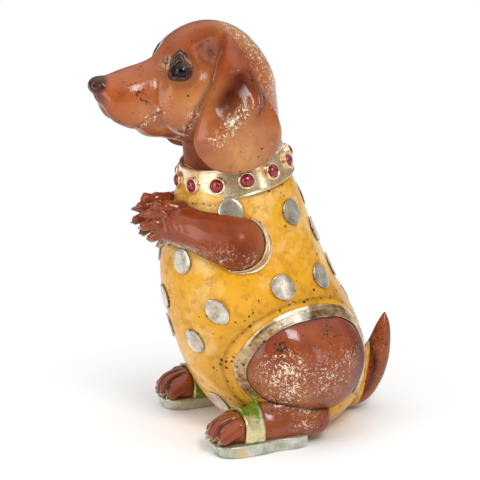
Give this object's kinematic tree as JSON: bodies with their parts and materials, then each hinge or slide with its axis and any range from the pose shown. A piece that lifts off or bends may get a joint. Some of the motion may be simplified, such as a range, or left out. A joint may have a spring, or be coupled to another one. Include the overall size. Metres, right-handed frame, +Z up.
{
  "type": "seated dog figurine",
  "caption": "Cast resin ornament of a seated long-eared dog with its paws pressed together, in a spotted suit, a jewelled collar and sandals.",
  "frame": {"origin": "on the ground, under the middle of the figurine's bounding box", "axes": "+Z up, the dog faces -Y and its left side is +X"},
  "size_m": [0.1196, 0.1778, 0.2305],
  "materials": {
    "brown_lacquer": "translucent amber-brown lacquer over resin, with gold flakes and dark specks",
    "yellow_suit": "mottled golden yellow lacquer over resin",
    "gold_leaf": "pale gold leaf, worn and tarnished",
    "red_stone": "polished red glass",
    "silver_leaf": "silver leaf with dark tarnish",
    "green_foil": "green lacquer over gold leaf",
    "sole_leaf": "grey-green silver leaf",
    "black_eye": "polished black"
  },
  "bodies": {
    "root": {"torso_casting": "yellow_suit", "tail": "brown_lacquer", "left_hind_leg": "brown_lacquer", "left_leg_hem": "gold_leaf", "left_foreleg": "brown_lacquer", "left_armhole_hem": "gold_leaf", "left_sandal_sole": "sole_leaf", "left_sandal_strap": "green_foil", "right_hind_leg": "brown_lacquer", "right_leg_hem": "gold_leaf", "right_foreleg": "brown_lacquer", "right_armhole_hem": "gold_leaf", "right_sandal_sole": "sole_leaf", "right_sandal_strap": "green_foil", "spot_01": "silver_leaf", "spot_02": "silver_leaf", "spot_03": "silver_leaf", "spot_04": "silver_leaf", "spot_05": "silver_leaf", "spot_06": "silver_leaf", "spot_07": "silver_leaf", "spot_08": "silver_leaf", "spot_09": "silver_leaf", "spot_10": "silver_leaf", "spot_11": "silver_leaf", "spot_12": "silver_leaf", "spot_13": "silver_leaf", "spot_14": "silver_leaf", "spot_15": "silver_leaf", "spot_16": "silver_leaf", "spot_17": "silver_leaf", "spot_18": "silver_leaf", "spot_19": "silver_leaf", "spot_20": "silver_leaf", "spot_21": "silver_leaf", "spot_22": "silver_leaf", "spot_23": "silver_leaf", "spot_24": "silver_leaf", "collar_band": "gold_leaf", "collar_stone_01": "red_stone", "collar_stone_02": "red_stone", "collar_stone_03": "red_stone", "collar_stone_04": "red_stone", "collar_stone_05": "red_stone", "collar_stone_06": "red_stone", "collar_stone_07": "red_stone", "collar_stone_08": "red_stone", "collar_stone_09": "red_stone", "collar_stone_10": "red_stone", "collar_stone_11": "red_stone", "collar_stone_12": "red_stone", "head_casting": "brown_lacquer", "left_ear": "brown_lacquer", "left_eye": "black_eye", "right_ear": "brown_lacquer", "right_eye": "black_eye"}
  },
  "joints": []
}
